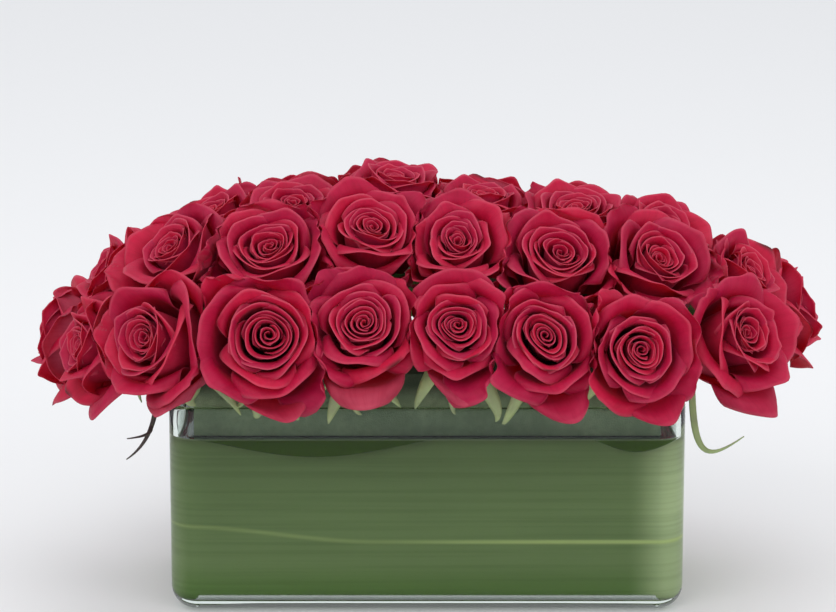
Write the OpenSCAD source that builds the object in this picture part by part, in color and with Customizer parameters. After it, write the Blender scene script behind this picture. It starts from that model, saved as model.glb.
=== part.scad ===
// Low rectangular glass vase lined with broad leaves, holding a dome of cut roses in wet foam.
// Millimetres. Z up, origin at the centre of the underside, front towards -Y, length along X.

/* [Vase] */
// Outside length of the vase
vase_l = 305; // [280:1:340]
// Outside width of the vase, front to back
vase_w = 127; // [115:1:140]
// Height of the vase
vase_h = 127; // [118:1:145]
// Thickness of the side walls
wall = 5; // [4:0.5:7]
// Thickness of the base
base_t = 8; // [6:0.5:12]
// Radius of the upright edges, outside
corner_r = 16; // [12:1:22]
// Radius of the lower edges, outside
foot_r = 14; // [10:1:18]

/* [Leaf lining and water] */
// Thickness of one lining leaf
leaf_t = 0.6; // [0.4:0.1:1]
// Distance from the rim down to the top edge of the outer leaves
leaf_drop = 19; // [12:1:26]
// How much lower the inner leaf ends than the outer ones
leaf_step = 2; // [1:0.5:6]
// Distance from the rim down to the water surface
water_drop = 20; // [16:1:40]
// Gap where two ends of a leaf come together at the sides
leaf_end_gap = 3; // [2:0.5:8]

/* [Foam] */
// Gap between the leaf lining and the foam block
foam_gap = 8; // [7:0.5:10]
// Height of the foam above the rim
foam_proud = 25; // [20:1:32]
// Bevel along the top edges of the foam
foam_bevel = 8; // [4:1:12]

/* [Roses] */
// Width of a middling bloom across its guard petals
bloom_w = 57; // [52:1:60]
// Height of a bloom from the seat of its petals to its heart
bloom_h = 53; // [48:1:56]
// Free space between neighbouring blooms
bloom_gap = 3; // [2:0.5:6]
// Thickness of a petal, measured straight out from the bloom's axis
petal_t = 0.9; // [0.7:0.1:1.1]
// Diameter of a stem
stem_d = 6; // [5:0.25:7]
// Radius of the swollen hip under the petals
hip_r = 7; // [6.5:0.25:8]
// Length of a sepal
sepal_l = 15; // [12:1:17]
// Thickness of a sepal
sepal_t = 0.8; // [0.6:0.1:1.2]

/* [Fit] */
// Clearance between one piece and the next
clearance = 0.3; // [0.2:0.05:0.4]
// Clearance round a stem in its hole in the foam
stem_clearance = 0.1; // [0.05:0.05:0.2]

/* [Hidden] */
$fn = 64;
floor_z = base_t;
cavity_l = vase_l - 2 * wall;
cavity_w = vase_w - 2 * wall;
cavity_r = corner_r - wall;
cavity_foot_r = foot_r - base_t;
lining_t = 2 * (leaf_t + clearance);
lining_z = floor_z + cavity_foot_r + clearance;
water_z = vase_h - water_drop;
foam_l = cavity_l - 2 * (lining_t + foam_gap);
foam_w = cavity_w - 2 * (lining_t + foam_gap);
foam_top = vase_h + foam_proud;
foam_z = floor_z + clearance;
pitch = bloom_w + bloom_gap;
ring_step = petal_t + clearance;
heart_base_r = hip_r - 3 * ring_step - clearance;
petal_steps = 6;

// Each row is a name and its roses. A rose is [across, back, up, bearing, rise, size, along, deep, down].
// Across, back and up place the heart of the bloom from the middle of the rim, in bloom spacings.
// Bearing turns it from the front towards +X, and rise tips it up from level, in degrees.
// Size is its width beside a middling bloom. Along and deep place the end of the stem in the foam,
// as shares of half its length and half its width, and down is that end's depth as a share of its height.
rows = [
    ["front", [
        [-2.78, -1.80, 0.86, -40, 18, 1.08, -0.72, -0.56, 0.195],
        [-1.63, -2.16, 0.91, -4, 13, 1.10, -0.44, -0.60, 0.195],
        [-0.60, -2.02, 1.16, 2, 34, 0.94, -0.20, -0.60, 0.195],
        [0.26, -2.06, 1.08, 0, 20, 0.88, 0.02, -0.60, 0.195],
        [1.14, -2.12, 0.89, 2, 15, 0.96, 0.24, -0.60, 0.195],
        [2.04, -2.10, 0.82, 10, 13, 0.92, 0.46, -0.60, 0.195],
        [3.22, -1.60, 0.78, 40, 14, 1.14, 0.74, -0.56, 0.195]]],
    ["upper_front", [
        [-2.62, -0.85, 1.66, -55, 45, 0.95, -0.56, -0.24, 0.38],
        [-1.57, -1.22, 1.75, -10, 48, 1.02, -0.34, -0.24, 0.38],
        [-0.56, -1.04, 1.96, 0, 54, 0.96, -0.11, -0.24, 0.38],
        [0.33, -1.12, 1.85, 0, 52, 0.92, 0.12, -0.24, 0.38],
        [1.24, -1.20, 1.70, 0, 48, 1.02, 0.35, -0.24, 0.38],
        [2.36, -1.00, 1.62, 30, 44, 1.06, 0.58, -0.24, 0.38]]],
    ["crown", [
        [-2.30, 0.12, 1.86, -70, 62, 0.94, -0.54, 0, 0.42],
        [-1.34, -0.14, 2.07, -20, 78, 1.00, -0.32, 0, 0.42],
        [-0.34, 0.04, 2.28, 0, 86, 0.94, -0.10, 0, 0.42],
        [0.52, 0.02, 2.08, 0, 84, 0.90, 0.12, 0, 0.42],
        [1.48, -0.16, 2.01, 18, 76, 1.00, 0.34, 0, 0.42],
        [2.48, 0.14, 1.72, 58, 56, 0.98, 0.58, 0, 0.42]]],
    ["upper_back", [
        [-2.34, 1.13, 1.58, -130, 46, 0.96, -0.50, 0.24, 0.38],
        [-1.36, 1.13, 1.78, -172, 50, 0.96, -0.26, 0.24, 0.38],
        [-0.42, 1.14, 1.86, 180, 50, 0.94, -0.02, 0.24, 0.38],
        [0.54, 1.14, 1.76, 178, 50, 0.98, 0.20, 0.24, 0.38],
        [1.56, 1.14, 1.66, 168, 48, 0.98, 0.44, 0.24, 0.38]]],
    ["back", [
        [-2.70, 1.78, 0.88, -142, 18, 1.02, -0.62, 0.58, 0.195],
        [-1.62, 2.12, 0.96, -175, 16, 1.00, -0.38, 0.60, 0.195],
        [-0.60, 2.14, 1.02, 180, 22, 0.98, -0.14, 0.60, 0.195],
        [0.38, 2.14, 0.98, 180, 20, 0.96, 0.08, 0.60, 0.195],
        [1.38, 2.12, 0.94, 176, 18, 1.00, 0.32, 0.60, 0.195],
        [2.38, 1.88, 0.88, 158, 20, 0.96, 0.56, 0.58, 0.195]]],
    ["left", [
        [-3.48, -0.96, 0.52, -66, 6, 1.04, -0.82, -0.34, 0.25],
        [-3.38, 0.10, 1.16, -86, 32, 0.94, -0.80, 0.02, 0.35],
        [-3.88, 0.56, 0.24, -98, 0, 1.02, -0.82, 0.20, 0.235]]],
    ["right", [
        [3.38, -0.40, 1.26, 72, 34, 0.92, 0.80, -0.02, 0.35],
        [3.92, 0.42, 0.58, 92, 8, 1.02, 0.82, 0.24, 0.25],
        [3.32, 1.46, 0.70, 130, 16, 1.00, 0.76, 0.54, 0.235]]]
];

ROSES = [for (row = rows) each [for (k = [0 : len(row[1]) - 1]) [str("rose_", row[0], "_", k + 1), row[1][k]]]];
STEM_ROWS = [for (row = rows) [str("stems_", row[0]), row[1]]];

function facing(rose) = [sin(rose[3]) * cos(rose[4]), -cos(rose[3]) * cos(rose[4]), sin(rose[4])];
function heart(rose) = [0, 0, vase_h] + pitch * [rose[0], rose[1], rose[2]];
function seat(rose) = heart(rose) - bloom_h * rose[5] * facing(rose);
function neck(rose) = seat(rose) - hip_r * facing(rose);
function stem_end(rose) = [rose[6] * foam_l / 2, rose[7] * foam_w / 2, foam_top - rose[8] * (foam_top - foam_z)];

// Width of a ring of petals at a height, from its foot on the hip to its belly and its flared rim.
function ring_r(z, foot, belly, flare) =
    foot + (belly - foot) * (1 - pow(1 - z / bloom_h, 2.6)) + flare * pow(z / bloom_h, 5);

module rounded_rect(l, w, r) {
    square([l - 2 * r, w], center = true);
    square([l, w - 2 * r], center = true);
    for (x = [-1, 1], y = [-1, 1])
        translate([x * (l / 2 - r), y * (w / 2 - r)])
            circle(r);
}

// A section with its two lower corners rounded.
module tub_section(w, h, r) {
    translate([-w / 2, r])
        square([w, h - r]);
    translate([-w / 2 + r, 0])
        square([w - 2 * r, r]);
    for (x = [-1, 1])
        translate([x * (w / 2 - r), r])
            circle(r);
}

// A block with rounded upright edges and rounded lower edges, standing on z = 0.
module tub(l, w, h, upright_r, lower_r) {
    intersection() {
        linear_extrude(h)
            rounded_rect(l, w, upright_r);
        translate([0, w / 2, 0])
            rotate([90, 0, 0])
                linear_extrude(w)
                    tub_section(l, h, lower_r);
        translate([-l / 2, 0, 0])
            rotate([90, 0, 90])
                linear_extrude(l)
                    tub_section(w, h, lower_r);
    }
}

module cavity(inset, top) {
    translate([0, 0, floor_z + inset])
        tub(cavity_l - 2 * inset, cavity_w - 2 * inset, top - floor_z - inset,
            cavity_r - inset, cavity_foot_r);
}

module vase() {
    color([0.80, 0.87, 0.84, 0.35])
        difference() {
            tub(vase_l, vase_w, vase_h, corner_r, foot_r);
            cavity(0, vase_h + wall);
        }
}

// One leaf thickness of the band that lies inside the glass.
module lining_band(inset, low, high) {
    translate([0, 0, low])
        linear_extrude(high - low)
            difference() {
                rounded_rect(cavity_l - 2 * inset, cavity_w - 2 * inset, cavity_r - inset);
                rounded_rect(cavity_l - 2 * (inset + leaf_t), cavity_w - 2 * (inset + leaf_t),
                    cavity_r - inset - leaf_t);
            }
}

// The half of space in front of the line where the leaf ends meet, or behind it.
module half_space(side) {
    translate([0, side * (vase_w + leaf_end_gap) / 2, vase_h / 2])
        cube([vase_l, vase_w, vase_h], center = true);
}

module lining_leaf(side) {
    intersection() {
        lining_band(clearance, lining_z, vase_h - leaf_drop);
        half_space(side);
    }
}

module lining_leaf_front() {
    color([0.27, 0.42, 0.16])
        lining_leaf(-1);
}

module lining_leaf_back() {
    color([0.25, 0.40, 0.15])
        lining_leaf(1);
}

module lining_leaf_inner() {
    color([0.20, 0.33, 0.10])
        lining_band(2 * clearance + leaf_t, lining_z, vase_h - leaf_drop - leaf_step);
}

// The foam with its upper edges bevelled, before the stems go in.
module foam_blank() {
    half_l = foam_l / 2;
    half_w = foam_w / 2;
    tall = foam_top - foam_z;
    intersection() {
        translate([0, half_w, foam_z])
            rotate([90, 0, 0])
                linear_extrude(foam_w)
                    polygon([
                        [-half_l, 0], [half_l, 0], [half_l, tall - foam_bevel], [half_l - foam_bevel, tall],
                        [-half_l + foam_bevel, tall], [-half_l, tall - foam_bevel]]);
        translate([-half_l, 0, foam_z])
            rotate([90, 0, 90])
                linear_extrude(foam_l)
                    polygon([
                        [-half_w, 0], [half_w, 0], [half_w, tall - foam_bevel], [half_w - foam_bevel, tall],
                        [-half_w + foam_bevel, tall], [-half_w, tall - foam_bevel]]);
    }
}

module foam_block() {
    color([0.22, 0.36, 0.20])
        difference() {
            foam_blank();
            for (rose = ROSES)
                stem_rod(rose[1], stem_d / 2 + stem_clearance, 2 * stem_clearance);
        }
}

module water() {
    color([0.75, 0.85, 0.80, 0.25])
        difference() {
            cavity(lining_t + clearance, water_z);
            translate([-foam_l / 2 - clearance, -foam_w / 2 - clearance, 0])
                cube([foam_l + 2 * clearance, foam_w + 2 * clearance, vase_h]);
        }
}

// A straight rod from below the stem's end in the foam to the neck of the bloom.
module stem_rod(rose, r, extra) {
    way = neck(rose) - stem_end(rose);
    reach = norm(way);
    translate(stem_end(rose))
        rotate([0, acos(way[2] / reach), atan2(way[1], way[0])])
            translate([0, 0, -extra])
                rotate([0, 0, 30])
                    cylinder(h = reach + extra, r = r);
}

module at_seat(rose) {
    translate(seat(rose))
        rotate([0, 90 - rose[4], rose[3] - 90])
            children();
}

// The swollen hip: a flat top where the petals sit, narrowing to the stem.
module hip() {
    rotate_extrude()
        polygon([[0, 0], [hip_r + clearance, 0], [hip_r, -hip_r * 0.5],
            [stem_d / 2 + 1, -hip_r * 1.5], [0, -hip_r * 1.5]]);
}

// A sepal springs from under the petals and arches out and down.
module sepal(turn) {
    steps = 4;
    arch = [for (k = [0 : steps]) let (s = k / steps)
        [hip_r / 2 + sepal_l * s * (1 - 0.25 * s), -sepal_t - hip_r / 8 - sepal_l * 0.55 * s * s]];
    rotate([0, 0, turn])
        rotate_extrude(angle = 24)
            polygon(concat(arch, [for (k = [steps : -1 : 0]) arch[k] + [0, sepal_t]]));
}

module rose_stem(rose) {
    union() {
        stem_rod(rose, stem_d / 2, 0);
        at_seat(rose) {
            hip();
            for (k = [0 : 4])
                sepal(72 * k);
        }
    }
}

module stems(roses) {
    color([0.33, 0.47, 0.20])
        for (rose = roses)
            rose_stem(rose);
}

// One petal: a turned shell that covers part of the way round the bloom.
module petal(foot, belly, flare, top, sweep) {
    outline = [for (k = [0 : petal_steps]) let (z = top * k / petal_steps) [ring_r(z, foot, belly, flare), z]];
    rotate_extrude(angle = sweep)
        polygon(concat(outline, [for (k = [petal_steps : -1 : 0]) outline[k] - [petal_t, 0]]));
}

module petal_ring(count, foot, belly, flare, top, start) {
    gap = 5;
    for (k = [0 : count - 1])
        rotate([0, 0, start + 360 / count * k])
            petal(foot, belly, flare, top, 360 / count - gap);
}

// The furled petals in the middle, as one bud with a dimple.
module heart_bud(belly) {
    top = bloom_h;
    rotate_extrude()
        polygon(concat(
            [[0, 0]],
            [for (k = [0 : petal_steps]) let (z = 0.9 * top * k / petal_steps) [ring_r(z, heart_base_r, belly, 0), z]],
            [[belly * 0.7, top], [belly * 0.45, top], [belly * 0.25, top * 0.92], [0, top * 0.9]]));
}

module rose_bloom(rose) {
    size = rose[5];
    rim_r = bloom_w / 2;
    color([0.72, 0.05, 0.13])
        at_seat(rose)
            scale(size) {
                heart_bud(rim_r * 0.36);
                petal_ring(3, heart_base_r + ring_step, rim_r * 0.54, 0, bloom_h * 0.97, 20);
                petal_ring(4, heart_base_r + 2 * ring_step, rim_r * 0.72, 0, bloom_h * 0.92, 50);
                petal_ring(5, heart_base_r + 3 * ring_step, rim_r * 0.88, rim_r * 0.3, bloom_h * 0.83, 0);
            }
}

vase();
lining_leaf_front();
lining_leaf_back();
lining_leaf_inner();
water();
foam_block();
for (rose = ROSES)
    rose_bloom(rose[1]);
for (row = STEM_ROWS)
    stems(row[1]);
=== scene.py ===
import math
import bpy
import numpy as np
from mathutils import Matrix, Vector


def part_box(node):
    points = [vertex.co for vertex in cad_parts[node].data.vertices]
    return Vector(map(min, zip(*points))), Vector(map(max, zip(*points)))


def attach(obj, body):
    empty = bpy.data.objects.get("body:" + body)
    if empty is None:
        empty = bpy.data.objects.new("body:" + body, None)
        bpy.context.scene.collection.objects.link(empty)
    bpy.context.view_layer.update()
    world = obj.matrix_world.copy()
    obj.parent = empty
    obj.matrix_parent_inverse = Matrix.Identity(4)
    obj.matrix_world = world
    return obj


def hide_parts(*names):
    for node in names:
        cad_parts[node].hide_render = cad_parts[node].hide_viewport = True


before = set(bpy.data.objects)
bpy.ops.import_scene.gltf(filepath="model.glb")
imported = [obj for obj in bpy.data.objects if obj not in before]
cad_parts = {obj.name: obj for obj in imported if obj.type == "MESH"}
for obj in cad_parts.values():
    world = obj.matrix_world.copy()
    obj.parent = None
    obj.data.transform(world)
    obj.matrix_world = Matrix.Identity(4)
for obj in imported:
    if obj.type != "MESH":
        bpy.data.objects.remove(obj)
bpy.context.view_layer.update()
print("stage: frame loaded")

mm = 0.001  # the sizes below are in millimetres unless they say otherwise


# reading the frame

def readAll(items, what, width, kind=float):
    values = np.empty(len(items) * width, dtype=kind)
    items.foreach_get(what, values)
    return values.reshape(-1, width)


def nodeMesh(name):
    # vertex places, edge ends, and each face's normal, centre and area, of a CAD node
    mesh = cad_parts[name].data
    return (readAll(mesh.vertices, "co", 3), readAll(mesh.edges, "vertices", 2, np.int64),
            readAll(mesh.polygons, "normal", 3), readAll(mesh.polygons, "center", 3),
            readAll(mesh.polygons, "area", 1)[:, 0])


def shellsOf(points, ends):
    # a label for each vertex, the same for all the vertices of one closed shell
    label = np.arange(len(points))
    while True:
        low = np.minimum(label[ends[:, 0]], label[ends[:, 1]])
        new = label.copy()
        np.minimum.at(new, ends[:, 0], low)
        np.minimum.at(new, ends[:, 1], low)
        new = new[new]
        if (new == label).all():
            return label
        label = new


def bloomPlace(name):
    # Seat, axis and height of a bloom: its flat petal tops all face along the axis,
    # and its centroid lies on the axis, because its petals stand evenly round it.
    points, ends, normals, centres, areas = nodeMesh(name)
    which = np.unique(np.round(normals, 2), axis=0, return_inverse=True)[1].ravel()
    best = which == np.bincount(which, weights=areas).argmax()
    axis = (normals[best] * areas[best, None]).sum(0)
    axis /= np.linalg.norm(axis)
    middle = (centres * areas[:, None]).sum(0) / areas.sum()
    along = points @ axis
    if along.max() - middle @ axis > middle @ axis - along.min():  # the wide end lies nearer the centroid
        axis = -axis
        along = -along
    seat = middle + axis * (along.min() - middle @ axis)
    return {"seat": seat, "axis": axis, "height": (along.max() - along.min()) / mm}


bloomNames = [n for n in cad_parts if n.startswith("rose_")]
stemNames = [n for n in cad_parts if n.startswith("stems_")]
blooms = {n: bloomPlace(n) for n in bloomNames}

for stemName in stemNames:
    points, ends = nodeMesh(stemName)[:2]
    label = shellsOf(points, ends)
    row = stemName.replace("stems_", "rose_")
    for one in np.unique(label):
        own = points[label == one]
        near = min((n for n in bloomNames if n.rsplit("_", 1)[0] == row),
                   key=lambda n: np.linalg.norm(own - blooms[n]["seat"], axis=1).min())
        far = np.linalg.norm(own - blooms[near]["seat"], axis=1)
        blooms[near]["stemEnd"] = own[far > far.max() - 0.1 * mm].mean(0)
        blooms[near]["stemNode"] = stemName

vaseLow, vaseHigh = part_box("vase")
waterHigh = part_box("water")[1]
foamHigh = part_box("foam_block")[1]
print("stage: blooms found", len(blooms))


# small mesh and material helpers

def placed(name, data):
    piece = bpy.data.objects.new(name, data)
    bpy.context.scene.collection.objects.link(piece)
    return piece


def makeMesh(name, verts, faces):
    mesh = bpy.data.meshes.new(name)
    mesh.from_pydata([tuple(v) for v in verts], [], [tuple(f) for f in faces])
    mesh.update()
    mesh.polygons.foreach_set("use_smooth", [True] * len(mesh.polygons))
    return placed(name, mesh)


def quadMesh(name, verts, quads):
    # a faster makeMesh for large all-quad meshes held in arrays
    mesh = bpy.data.meshes.new(name)
    mesh.vertices.add(len(verts))
    mesh.vertices.foreach_set("co", np.ascontiguousarray(verts, dtype=np.float32).ravel())
    mesh.loops.add(quads.size)
    mesh.loops.foreach_set("vertex_index", np.ascontiguousarray(quads, dtype=np.int32).ravel())
    mesh.polygons.add(len(quads))
    mesh.polygons.foreach_set("loop_start", np.arange(0, quads.size, 4, dtype=np.int32))
    mesh.polygons.foreach_set("use_smooth", np.ones(len(quads), dtype=bool))
    mesh.update(calc_edges=True)
    return placed(name, mesh)


def setUv(mesh, uv, quads):
    layer = mesh.uv_layers.new(name="petalUv")
    layer.data.foreach_set("uv", np.ascontiguousarray(uv[quads.ravel()], dtype=np.float32).ravel())


def setColour(mesh, values):
    layer = mesh.color_attributes.new(name="petal", type="FLOAT_COLOR", domain="POINT")
    layer.data.foreach_set("color", np.ascontiguousarray(values, dtype=np.float32).ravel())


def curveOf(p0, p1, p2, p3, q):
    # a smooth curve from p0 to p3, drawn towards the two between
    return p0 * (1 - q) ** 3 + 3 * p1 * q * (1 - q) ** 2 + 3 * p2 * q * q * (1 - q) + p3 * q ** 3


def facesOut(front, least):
    # which way each point of a grid of places faces
    normal = np.cross(np.gradient(front, axis=0), np.gradient(front, axis=1))
    return normal / np.maximum(np.linalg.norm(normal, axis=-1, keepdims=True), least)


def shellQuads(columns, rows):
    # the quads of a thin closed shell: its front grid, then its back grid, then its edge
    count = columns * rows
    index = np.arange(count).reshape(columns, rows)
    inner = np.stack([index[:-1, :-1], index[:-1, 1:], index[1:, 1:], index[1:, :-1]], -1).reshape(-1, 4)
    loop = np.concatenate([index[:, 0], index[-1, 1:], index[-2::-1, -1], index[0, -2:0:-1]])
    following = np.roll(loop, -1)
    edge = np.stack([loop, following, following + count, loop + count], -1)
    return np.concatenate([inner, inner[:, ::-1] + count, edge])


class Nodes:
    # builds a material's node tree with short calls
    def __init__(self, name):
        self.material = bpy.data.materials.new(name)
        self.material.use_nodes = True
        self.tree = self.material.node_tree
        self.tree.nodes.clear()
        self.out = self.tree.nodes.new("ShaderNodeOutputMaterial")

    def add(self, kind, inputs=None, **settings):
        # an input is set to a value, or linked where it is given a socket
        node = self.tree.nodes.new("ShaderNode" + kind)
        for key, value in settings.items():
            setattr(node, key, value)
        for key, value in (inputs or {}).items():
            if isinstance(value, bpy.types.NodeSocket):
                self.tree.links.new(value, node.inputs[key])
            else:
                node.inputs[key].default_value = value
        return node

    def mix(self, factor, a, b):
        return self.add("Mix", {0: factor, 6: a, 7: b}, data_type="RGBA").outputs[2]

    def math(self, operation, a, b=0.0):
        return self.add("Math", {0: a, 1: b}, operation=operation).outputs[0]

    def times(self, a, b):
        return self.math("MULTIPLY", a, b)

    def scaled(self, value, factor, plus=0.0):
        return self.math("ADD", self.times(value, factor), plus)

    def ramp(self, value, low, high, outLow=0.0, outHigh=1.0):
        node = self.add("MapRange", {"Value": value, "From Min": low, "From Max": high,
                                     "To Min": outLow, "To Max": outHigh})
        node.interpolation_type = "SMOOTHSTEP"
        return node.outputs[0]

    def noise(self, vector, scale, detail=3.0, roughness=0.5):
        return self.add("TexNoise", {"Vector": vector, "Scale": scale, "Detail": detail,
                                     "Roughness": roughness}).outputs["Fac"]

    def stretch(self, vector, scale):
        return self.add("Mapping", {"Vector": vector, "Scale": scale}).outputs[0]

    def place(self):
        return self.add("TexCoord").outputs["Object"]

    def parts(self, vector):
        return self.add("SeparateXYZ", {"Vector": vector}).outputs

    def bump(self, height, strength, distance):
        return self.add("Bump", {"Height": height, "Strength": strength, "Distance": distance}).outputs[0]

    def principled(self, inputs):
        return self.add("BsdfPrincipled", inputs).outputs[0]

    def blend(self, factor, a, b):
        return self.add("MixShader", {0: factor, 1: a, 2: b}).outputs[0]

    def finish(self, shader):
        self.tree.links.new(shader, self.out.inputs["Surface"])
        return self.material


def srgb(r, g, b):
    # an 8-bit colour as linear light
    shares = [c / 255 for c in (r, g, b)]
    return tuple(((c + 0.055) / 1.055) ** 2.4 if c > 0.04 else c / 12.92 for c in shares) + (1.0,)


# materials

petalLook = {
    "front": (0.60, 0.007, 0.057, 1),       # the inner face of a petal, in linear light
    "frontPaintedShade": (0.55, 0.002, 0.033, 1),   # the same with painted shade, darker down in the heart and low on the petal
    "back": (0.55, 0.017, 0.070, 1),        # the outer face
    # the outer face with painted shade, darker towards the foot of the petal
    "backPaintedShade": (0.50, 0.005, 0.040, 1),
    "guardBack": (0.52, 0.058, 0.105, 1),   # the dusty outer face of the broad outer petals
    "vein": (0.30, 0.001, 0.020, 1),
    "edge": (0.76, 0.130, 0.210, 1),        # a painted highlight along the thin rims; the pale clouds use this colour too
    "dry": (0.040, 0.005, 0.007, 1),        # a dried tip
    "dryFrom": 0.975,                       # petals with a tone above this have one
    "veins": 0.34,                          # how strong the veins, pale clouds and dark clouds are
    "paleClouds": 0.12,
    "darkClouds": 0.25,
    "roughness": 0.55,
    "sheen": 0.16,
    "sheenTint": (1.0, 0.25, 0.35, 1.0),
    "glow": 0.40,                           # how much light comes through a petal, and its colour
    "glowColour": (0.85, 0.008, 0.075, 1),
}


def petalMaterial():
    n = Nodes("rosePetals")
    look = petalLook
    data = n.add("Attribute", attribute_name="petal")
    side, tone, ring = n.add("SeparateColor", {"Color": data.outputs["Color"]}).outputs
    uv = n.add("UVMap", uv_map="petalUv").outputs[0]
    across = n.parts(uv)
    u = n.math("ABSOLUTE", n.scaled(across[0], 2.0, -1.0))
    v = across[1]
    place = n.place()
    veins = n.noise(n.stretch(uv, (34, 1.6, 1)), 1.0, 4.0, 0.65)
    cloud = n.noise(place, 75.0, 4.0, 0.6)
    fine = n.noise(place, 900.0, 2.0)
    height = n.ramp(v, 0.25, 0.95)
    # painted shade: the inner face darkens towards the petal's foot, and more in the heart
    front = n.mix(n.times(height, n.ramp(ring, -0.3, 0.6)), look["frontPaintedShade"], look["front"])
    front = n.mix(data.outputs["Alpha"], front, look["guardBack"])
    # painted shade: the outer face darkens towards the petal's foot
    back = n.mix(n.ramp(v, 0.1, 0.8), look["backPaintedShade"], look["back"])
    back = n.mix(n.ramp(ring, 0.7, 0.92), back, look["guardBack"])
    colour = n.mix(side, front, back)
    # veins and soft clouds, a little lighter or darker from petal to petal
    colour = n.mix(n.times(n.ramp(veins, 0.4, 0.75), look["veins"]), colour, look["vein"])
    colour = n.mix(n.times(n.ramp(cloud, 0.42, 0.72), look["paleClouds"]), colour, look["edge"])
    colour = n.mix(n.times(n.ramp(cloud, 0.5, 0.3), look["darkClouds"]), colour, look["vein"])
    colour = n.add("HueSaturation", {
        "Hue": n.scaled(tone, 0.007, 0.492),
        "Saturation": 1.0,
        "Value": n.scaled(tone, 0.26, 0.87),
        "Color": colour}).outputs[0]
    # painted highlight: the rims are painted paler, most in the inner whorls
    rim = n.math("MAXIMUM", n.ramp(v, 0.93, 1.0), n.ramp(u, 0.95, 1.0))
    rim = n.times(rim, n.ramp(ring, 0.45, 0.7, 0.75, 0.4))
    colour = n.mix(rim, colour, look["edge"])
    tip = n.times(n.ramp(v, 0.90, 1.0), n.ramp(u, 0.32, 0.05))
    dry = n.times(tip, n.math("GREATER_THAN", tone, look["dryFrom"]))
    colour = n.mix(dry, colour, look["dry"])
    bump = n.bump(n.math("ADD", n.times(veins, 0.7), n.times(fine, 0.3)), 0.35, 0.0004)
    shader = n.principled({
        "Base Color": colour, "Roughness": look["roughness"], "Normal": bump,
        "Sheen Weight": look["sheen"], "Sheen Roughness": 0.45, "Sheen Tint": look["sheenTint"],
        "Specular IOR Level": 0.3})
    glow = n.add("BsdfTranslucent", {"Color": look["glowColour"], "Normal": bump}).outputs[0]
    return n.finish(n.blend(look["glow"], shader, glow))


stemLook = {
    "light": srgb(120, 150, 78),
    "deep": srgb(62, 92, 42),
    "pale": srgb(222, 228, 180),       # sepals
    "withered": srgb(74, 62, 60),
}


def stemMaterial():
    n = Nodes("stemAndSepals")
    place = n.place()
    data = n.add("Attribute", attribute_name="petal")
    parts = n.add("SeparateColor", {"Color": data.outputs["Color"]}).outputs
    colour = n.mix(n.ramp(n.noise(place, 90.0), 0.3, 0.7), stemLook["deep"], stemLook["light"])
    colour = n.mix(n.times(parts[0], 0.85), colour, stemLook["pale"])
    colour = n.mix(parts[1], colour, stemLook["withered"])
    return n.finish(n.principled({
        "Base Color": colour, "Roughness": 0.5, "Normal": n.bump(n.noise(place, 1400.0, 2.0), 0.3, 0.0003),
        "Specular IOR Level": 0.4,
        "Subsurface Weight": 0.08, "Subsurface Radius": (0.4, 1.0, 0.2), "Subsurface Scale": 0.002}))


foamLook = {
    "base": srgb(122, 138, 108),
    "light": srgb(150, 165, 132),
    "coarse": srgb(92, 110, 80),
    "paintedShade": srgb(18, 30, 14),          # painted shade on its top, where the blooms above shade it
    "paintedShadeFrom": (0.126, 0.138),        # between these heights, in metres
}


def foamMaterial():
    n = Nodes("wetFoam")
    look = foamLook
    place = n.place()
    voronoi = n.add("TexVoronoi", {"Vector": place, "Scale": 1600.0}, feature="F1")
    cells = voronoi.outputs["Distance"]
    coarse = n.noise(place, 260.0, 4.0)
    colour = n.mix(n.ramp(n.noise(place, 35.0, 4.0), 0.3, 0.7), look["base"], look["light"])
    colour = n.mix(n.times(n.ramp(coarse, 0.35, 0.7), 0.25), colour, look["coarse"])
    # painted shade: the foam darkens above the given height, under the blooms
    colour = n.mix(n.ramp(n.parts(place)[2], *look["paintedShadeFrom"], 0.0, 0.85), colour, look["paintedShade"])
    height = n.math("ADD", n.times(cells, 0.5), n.times(coarse, 0.5))
    return n.finish(n.principled({
        "Base Color": colour, "Roughness": 0.75, "Normal": n.bump(height, 0.7, 0.0008),
        "Specular IOR Level": 0.3}))


glassLook = {"ior": 1.5, "tint": (0.80, 0.87, 0.83, 1), "shadow": (0.84, 0.90, 0.87, 1), "shine": 0.35}
waterLook = {"ior": 1.333, "tint": (0.93, 0.98, 0.95, 1), "shadow": (0.9, 0.95, 0.92, 1), "shine": 1.0}


def clearMaterial(name, look):
    # clear glass or water, which lets soft light through to what stands inside
    n = Nodes(name)
    waves = n.bump(n.noise(n.place(), 14.0, 2.0), 0.12, 0.002)
    body = n.principled({
        "Base Color": look["tint"], "Roughness": 0.0, "IOR": look["ior"], "Transmission Weight": 1.0,
        "Specular Tint": (look["shine"],) * 3 + (1,), "Normal": waves})
    through = n.add("BsdfTransparent", {"Color": look["shadow"]}).outputs[0]
    shadowRay = n.add("LightPath").outputs["Is Shadow Ray"]
    return n.finish(n.blend(shadowRay, body, through))


leafLook = {
    "leaf": srgb(121, 141, 93),       # the broad blade
    "low": srgb(101, 130, 70),        # greener towards its lower edge
    "side": srgb(194, 208, 160),      # painted light: paler towards both ends, most at the right-hand end, where the rounded glass corners brighten it
    "cloud": srgb(86, 106, 64),
    "rib": srgb(200, 214, 140),       # the pale midrib
    "ribAt": 0.0440,                  # its height, and how much it rises at the left end, in metres
    "ribRise": 0.0095,
    "inner": srgb(56, 82, 16),        # the darker leaf behind
    "innerLight": srgb(66, 92, 24),
    "vein": srgb(66, 88, 44),
    "cut": srgb(176, 190, 156),       # the pale cut edge at the water line
}


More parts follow.
